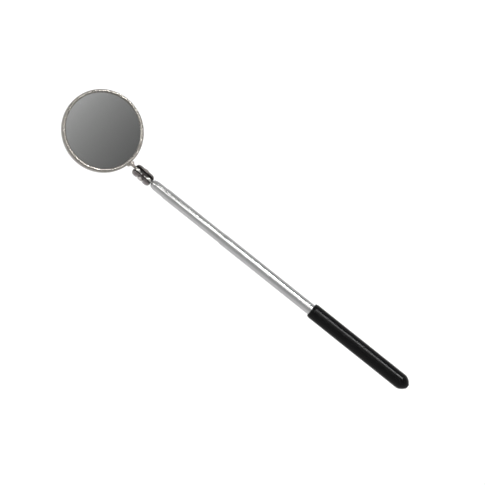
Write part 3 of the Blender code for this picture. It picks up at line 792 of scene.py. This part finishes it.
def make_nut():
    """A hexagon nut with its corners turned down and its bore chamfered."""
    matrix = clamp_frame(-1)
    bottom, top = SADDLE_HEIGHT + FIT_GAP, NUT_TOP
    corner = NUT_ACROSS_FLATS / 2 / math.cos(math.radians(30))
    shape = bmesh.new()
    bmesh.ops.create_cone(shape, cap_ends=True, segments=6, radius1=corner, radius2=corner,
                          depth=top - bottom)
    bmesh.ops.translate(shape, verts=shape.verts, vec=(0, 0, (top + bottom) / 2))
    nut = new_object("nut", closed_mesh("nut", shape), matrix)
    barrel = [
        (bottom - FIT_GAP, 0, 0),
        (bottom - FIT_GAP, corner - 2 * NUT_CHAMFER, 0),
        (bottom + NUT_CHAMFER, corner + 0.06 * MM, 0),
        (top - NUT_CHAMFER, corner + 0.06 * MM, 0),
        (top + FIT_GAP, corner - 2 * NUT_CHAMFER, 0),
        (top + FIT_GAP, 0, 0),
    ]
    turned_down = new_object("turned_down", lathe("turned_down", filleted(barrel), 96, "Z"), matrix)
    combine(nut, [turned_down], "INTERSECT")
    sink = 0.18 * MM
    past = 0.2 * MM
    bore = [
        (bottom - past, 0, 0),
        (bottom - past, SCREW_HOLE_RADIUS + sink + past, 0),
        (bottom + sink, SCREW_HOLE_RADIUS, 0),
        (top - sink, SCREW_HOLE_RADIUS, 0),
        (top + past, SCREW_HOLE_RADIUS + sink + past, 0),
        (top + past, 0, 0),
    ]
    combine(nut, [new_object("nut_bore", lathe("nut_bore", filleted(bore), 64, "Z"), matrix)])
    soften_edges(nut, 0.05 * MM)
    finish_piece(nut, "ball_clamp", ["clamp_nut"], SCREW_METAL)


# ---------------------------------------------------------------- mirror head


def rivet_holes(name, start, end):
    """Cutters for the rivets' holes between two heights."""
    return [rod(name, RIVET_HOLE_RADIUS, start, end, HEAD @ Matrix.Translation((station, 0, 0)))
            for station in RIVET_STATIONS]


def make_case():
    """The pressed case. The last ring but one keeps the shading of its flat back flat."""
    inside = CASE_BACK + CASE_SHEET
    wall = CASE_RADIUS - CASE_SHEET
    corners = [
        (inside, 0, 0),
        (inside, wall, 0.8 * MM),
        (0.05 * MM, wall, 0.3 * MM),
        (0.38 * MM, wall - 1 * MM, 0.4 * MM),
        (0.2 * MM, LIP_RADIUS, 0.08 * MM),
        (0.42 * MM, LIP_RADIUS - 0.02 * MM, 0.15 * MM),
        (CREST, LIP_RADIUS + 0.7 * MM, 0.5 * MM),
        (CREST, CASE_RADIUS - 0.75 * MM, 0.5 * MM),
        (CREST - 0.85 * MM, CASE_RADIUS, 0.7 * MM),
        (CASE_BACK, CASE_RADIUS, 0.95 * MM),
        (CASE_BACK, CASE_RADIUS - 1.6 * MM, 0),
        (CASE_BACK, 0, 0),
    ]
    case = new_object("case", lathe("case", filleted(corners, 8), 192, "Z"), HEAD)
    combine(case, rivet_holes("case_hole", CASE_BACK - MM, inside + 0.5 * MM))
    finish_piece(case, "mirror_head", ["mirror_case"], CASE_METAL)


def make_glass():
    """The glass. The ring just inside its edge keeps the shading of its face flat."""
    corners = [
        (0, 0, 0),
        (0, GLASS_RADIUS - 0.7 * MM, 0),
        (0, GLASS_RADIUS - 0.45 * MM, 0.06 * MM),
        (-0.45 * MM, GLASS_RADIUS, 0.06 * MM),
        (-GLASS_THICKNESS, GLASS_RADIUS, 0.05 * MM),
        (-GLASS_THICKNESS, 0, 0),
    ]
    glass = new_object("glass", lathe("glass", filleted(corners), 192, "Z"), HEAD)
    finish_piece(glass, "mirror_head", ["mirror_glass"], GLASS)


def make_bracket():
    """The strap on the back, rounded at its end, and its ear, bent up at the rim."""
    middle_height = CASE_BACK - STRAP_GAP - STRAP_THICKNESS / 2
    ear_station = EAR_INNER_FACE - STRAP_THICKNESS / 2
    bend = STRAP_BEND
    path = [Vector((STRAP_INNER_END + k * (ear_station + bend - STRAP_INNER_END) / 30, middle_height))
            for k in range(31)]
    for k in range(1, 10):
        angle = math.radians(10 * k)
        path.append(Vector((ear_station + bend - bend * math.sin(angle),
                            middle_height + bend - bend * math.cos(angle))))
    bend_end = path[-1]
    path += [bend_end.lerp(Vector((ear_station, EAR_TOP)), k / 14) for k in range(1, 15)]
    lengths = [0]
    for a, b in zip(path, path[1:]):
        lengths.append(lengths[-1] + (b - a).length)
    total = lengths[-1]
    edge = 0.14 * MM
    shape = bmesh.new()
    rows = []
    for i, place in enumerate(path):
        from_end = min(lengths[i], total - lengths[i])
        reach = min(1, from_end / (STRAP_WIDTH / 2))
        half = STRAP_WIDTH / 2 * max(0.12, math.sqrt(1 - (1 - reach) ** 2))
        before, after = path[max(0, i - 1)], path[min(len(path) - 1, i + 1)]
        along = (after - before).normalized()
        out = Vector((-along.y, along.x)) * STRAP_THICKNESS / 2
        rows.append([shape.verts.new((place.x + out.x * v, u, place.y + out.y * v)) for u, v in (
            (-half, 0.6), (-half + edge, 1), (half - edge, 1), (half, 0.6),
            (half, -0.6), (half - edge, -1), (-half + edge, -1), (-half, -0.6))])
    for a, b in zip(rows, rows[1:]):
        for k in range(8):
            n = (k + 1) % 8
            shape.faces.new((a[k], a[n], b[n], b[k]))
    shape.faces.new(rows[0])
    shape.faces.new(rows[-1])
    strap = new_object("strap", closed_mesh("strap", shape), HEAD)
    cutters = rivet_holes("strap_hole", middle_height - MM, middle_height + MM)
    cutters.append(rod("ear_hole", RIVET_HOLE_RADIUS, ear_station - MM, ear_station + MM,
                       HEAD @ Matrix.Translation((0, 0, -STEM_DROP)), axis="X"))
    combine(strap, cutters)
    finish_piece(strap, "mirror_head", ["stem_bracket"], FITTING_METAL)


def make_rivets():
    """The two rivets: a flat head in the case and a peened one on the strap."""
    top = CASE_BACK + CASE_SHEET
    under = CASE_BACK - STRAP_GAP - STRAP_THICKNESS - FIT_GAP
    corners = [
        (top + 0.45 * MM, 0, 0),
        (top + 0.45 * MM, RIVET_HEAD_RADIUS, 0.15 * MM),
        (top + FIT_GAP, RIVET_HEAD_RADIUS, 0),
        (top + FIT_GAP, RIVET_RADIUS, 0),
        (under, RIVET_RADIUS, 0),
        (under, 1.7 * MM, 0.1 * MM),
        (under - 0.4 * MM, 1.45 * MM, 0.35 * MM),
        (under - 0.6 * MM, 0.5 * MM, 0.4 * MM),
        (under - 0.6 * MM, 0, 0),
    ]
    for i, station in enumerate(RIVET_STATIONS, 1):
        name = "rivet_" + str(i)
        rivet = new_object(name, lathe(name, filleted(corners), 48, "Z"),
                           HEAD @ Matrix.Translation((station, 0, 0)))
        finish_piece(rivet, "mirror_head", ["bracket_" + name], FITTING_METAL)


def make_stem():
    """The stem, in a frame at the front ball: tenon, neck, flange on the ear and peened end."""
    ear_inner = HEAD_REACH + EAR_INNER_FACE
    ear_outer = ear_inner - STRAP_THICKNESS
    corners = [
        (ear_inner + 0.4 * MM, 0, 0),
        (ear_inner + 0.4 * MM, 0.9 * MM, 0.2 * MM),
        (ear_inner + 0.2 * MM, 1.4 * MM, 0.1 * MM),
        (ear_inner + FIT_GAP, 1.4 * MM, 0),
        (ear_inner + FIT_GAP, RIVET_RADIUS, 0),
        (ear_outer - FIT_GAP, RIVET_RADIUS, 0),
        (ear_outer - FIT_GAP, STEM_FLANGE_RADIUS, 0.12 * MM),
        (ear_outer - 0.65 * MM, STEM_FLANGE_RADIUS, 0.18 * MM),
        (ear_outer - 0.8 * MM, STEM_RADIUS, 0.3 * MM),
        (BALL_RADIUS + 1 * MM, STEM_RADIUS, 0.3 * MM),
        (BALL_RADIUS + 0.6 * MM, STEM_NECK_RADIUS, 0.2 * MM),
        (BALL_RADIUS + TENON_SHOULDER_GAP, STEM_NECK_RADIUS, 0.05 * MM),
        (BALL_RADIUS + TENON_SHOULDER_GAP, TENON_RADIUS, 0),
        (BALL_RADIUS - TENON_LENGTH, TENON_RADIUS, 0),
        (BALL_RADIUS - TENON_LENGTH, 0, 0),
    ]
    stem = new_object("stem", lathe("stem", filleted(corners), 64), STEM)
    finish_piece(stem, "mirror_head", ["mirror_stem"], FITTING_METAL)


def dress_hidden_nodes():
    """The pieces inside keep their CAD shapes and get their own materials."""
    for node, material in (("friction_shoe_left", BRASS), ("friction_shoe_right", BRASS),
                           ("tube_end_plug", NYLON), ("backing_pad", FIBRE)):
        mesh = frame["nodes"][node].data
        mesh.materials.clear()
        mesh.materials.append(material)


make_grip()
make_outer_tube()
make_inner_tube()
make_shank()
make_balls()
make_plates()
make_screw()
make_lock_washer()
make_nut()
make_case()
make_glass()
make_bracket()
make_rivets()
make_stem()
dress_hidden_nodes()

# ---------------------------------------------------------------- camera, floor and light

CAMERA_BACK = Vector((0, 0.314, 0.949)).normalized()
CAMERA_UP = Vector((0.6264, -0.7398, 0.2448))
CAMERA_ROLL = math.radians(-0.2)
CAMERA_DISTANCE = 2.0
FRAME_WIDTH = 0.33465
SENSOR_WIDTH = 36.0
AIM = Vector((0.1511, -0.00636, 0.00211))

FLOOR_SIDE = 3.0
FLOOR_THICKNESS = 0.02
FLOOR_GREY = 0.20
FLOOR_GLOW = 0.86
# How far the floor lies below the tool, so that the head stays above it when it swings right down.
FLOOR_DROP = 0.085
# Levels of the room by the sine of the elevation.
WORLD_LEVELS = ((0.0, 0.92), (0.25, 0.78), (0.5, 0.62), (0.9, 0.52))
WORLD_FAR, WORLD_NEAR = 0.85, 1.15
# The long light overhead: its height, and its middle line with how much stronger it is there.
LIGHT_HEIGHT = 3.0
LIGHT_PATH = (
    (0.45, 0.8, 1), (0.34, 0.35, 1), (0.27, 0.13, 1), (0.205, -0.17, 1), (0.15, -0.54, 1),
    (0.03, -0.80, 1.1), (-0.044, -1.05, 2), (-0.127, -1.42, 4.2), (-0.228, -1.74, 12),
    (-0.33, -2.1, 14),
)
LIGHT_HALF_WIDTH = 0.85
LIGHT_CORE = 0.115
LIGHT_POWER = 7.5
# The faint glow beside it: its level where X is SKIRT_LINE, and how fast that grows with X.
SKIRT_LEVEL = 0.225
SKIRT_LINE = -0.399
SKIRT_RISE = 0.135
SKIRT_MOST = 0.6
KEY_DIRECTION = Vector((0.60, 0.19, 0.78))
KEY_AIM = Vector((0.2, 0, 0))
KEY_DISTANCE = 1.1
KEY_SIZE = 0.35
KEY_POWER = 2.0


def make_camera():
    data = bpy.data.cameras.new("camera")
    data.sensor_width = SENSOR_WIDTH
    data.lens = SENSOR_WIDTH * CAMERA_DISTANCE / FRAME_WIDTH
    data.clip_end = 20
    camera = bpy.data.objects.new("camera", data)
    bpy.context.scene.collection.objects.link(camera)
    right = CAMERA_UP.cross(CAMERA_BACK).normalized()
    up = CAMERA_BACK.cross(right)
    turn = Matrix((right, up, CAMERA_BACK)).transposed().to_4x4()
    roll = Matrix.Rotation(CAMERA_ROLL, 4, "Z")
    camera.matrix_world = Matrix.Translation(AIM + CAMERA_BACK * CAMERA_DISTANCE) @ turn @ roll
    bpy.context.scene.camera = camera


def make_floor():
    """A plain pale floor that glows a little: mostly even light from below."""
    height = cad_bounds[0].z - FLOOR_DROP - FLOOR_THICKNESS / 2
    floor = block("floor", (FLOOR_SIDE, FLOOR_SIDE, FLOOR_THICKNESS), (0.15, 0, height),
                  Matrix.Identity(4))
    material = bpy.data.materials.new("pale_floor")
    material.use_nodes = True
    surface = material.node_tree.nodes["Principled BSDF"]
    surface.inputs["Base Color"].default_value = (FLOOR_GREY, FLOOR_GREY, FLOOR_GREY, 1)
    surface.inputs["Roughness"].default_value = 0.9
    surface.inputs["Specular IOR Level"].default_value = 0.0
    surface.inputs["Emission Color"].default_value = (1, 1, 1, 1)
    surface.inputs["Emission Strength"].default_value = FLOOR_GLOW
    floor.data.materials.append(material)


def colour_ramp(tree, value, stops):
    """A grey ramp through (position, level) stops."""
    ramp = tree.nodes.new("ShaderNodeValToRGB")
    tree.links.new(value, ramp.inputs["Fac"])
    elements = ramp.color_ramp.elements
    for element, (position, level) in zip(elements, (stops[0], stops[-1])):
        element.position = position
        element.color = (level, level, level, 1)
    for position, level in stops[1:-1]:
        elements.new(position).color = (level, level, level, 1)
    return ramp.outputs["Color"]


def make_world():
    """A plain room: mid grey overhead, paler low down, and paler behind the camera than before it."""
    world = bpy.data.worlds.new("room")
    bpy.context.scene.world = world
    world.use_nodes = True
    tree = world.node_tree
    place = tree.nodes.new("ShaderNodeTexCoord")
    split = tree.nodes.new("ShaderNodeSeparateXYZ")
    tree.links.new(place.outputs["Generated"], split.inputs[0])
    levels = colour_ramp(tree, split.outputs["Z"], WORLD_LEVELS)
    lean = tree.nodes.new("ShaderNodeMapRange")
    set_range(lean, -1, 1, WORLD_FAR, WORLD_NEAR)
    tree.links.new(split.outputs["Y"], lean.inputs["Value"])
    background = tree.nodes["Background"]
    tree.links.new(levels, background.inputs["Color"])
    tree.links.new(lean.outputs["Result"], background.inputs["Strength"])


def light_path():
    """The overhead light's middle line, with its corners smoothed."""
    centre = [Vector(point) for point in LIGHT_PATH]
    path = []
    for a, b in zip(centre, centre[1:]):
        path += [a.lerp(b, k / 8) for k in range(8)]
    path.append(centre[-1])
    for _ in range(8):
        inner = [(a + b * 2 + c) / 4 for a, b, c in zip(path, path[1:], path[2:])]
        path = [path[0]] + inner + [path[-1]]
    return path


def make_overhead_light():
    """A long soft light hung over the object: a strip of card, bright along its middle and faint
    beside it. Each corner of the mesh holds its own radiance."""
    columns = 64
    path = light_path()
    shape = bmesh.new()
    radiance = shape.verts.layers.float.new("radiance")
    rows = []
    for before, point, after in zip([path[0]] + path, path, path[1:] + [path[-1]]):
        along = after - before
        side = Vector((along.y, -along.x, 0)).normalized()
        row = []
        for k in range(columns + 1):
            offset = (2 * k / columns - 1) * LIGHT_HALF_WIDTH
            place = point + side * offset
            vert = shape.verts.new((place.x, place.y, LIGHT_HEIGHT))
            core = LIGHT_POWER * point.z * math.exp(-(offset / LIGHT_CORE) ** 2)
            skirt = SKIRT_LEVEL * math.exp((place.x - SKIRT_LINE) / SKIRT_RISE)
            vert[radiance] = core + min(skirt, SKIRT_MOST)
            row.append(vert)
        rows.append(row)
    for a, b in zip(rows, rows[1:]):
        for k in range(columns):
            shape.faces.new((a[k], a[k + 1], b[k + 1], b[k]))
    mesh = bpy.data.meshes.new("overhead_light")
    shape.to_mesh(mesh)
    shape.free()
    card = new_object("overhead_light", mesh, Matrix.Identity(4))
    material = bpy.data.materials.new("overhead_glow")
    material.use_nodes = True
    tree = material.node_tree
    tree.nodes.remove(tree.nodes["Principled BSDF"])
    level = tree.nodes.new("ShaderNodeAttribute")
    level.attribute_name = "radiance"
    emission = tree.nodes.new("ShaderNodeEmission")
    tree.links.new(level.outputs["Fac"], emission.inputs["Strength"])
    tree.links.new(emission.outputs["Emission"], tree.nodes["Material Output"].inputs["Surface"])
    card.data.materials.append(material)
    card.visible_camera = False
    card.visible_shadow = False


def make_key_light():
    data = bpy.data.lights.new("key", "AREA")
    data.shape = "DISK"
    data.size = KEY_SIZE
    data.energy = KEY_POWER
    light = bpy.data.objects.new("key", data)
    bpy.context.scene.collection.objects.link(light)
    light.location = KEY_AIM + KEY_DIRECTION.normalized() * KEY_DISTANCE
    light.rotation_mode = "QUATERNION"
    light.rotation_quaternion = KEY_DIRECTION.to_track_quat("Z", "Y")
    light.visible_camera = False


make_camera()
make_floor()
make_world()
make_overhead_light()
make_key_light()
bpy.context.scene.view_settings.view_transform = "Standard"
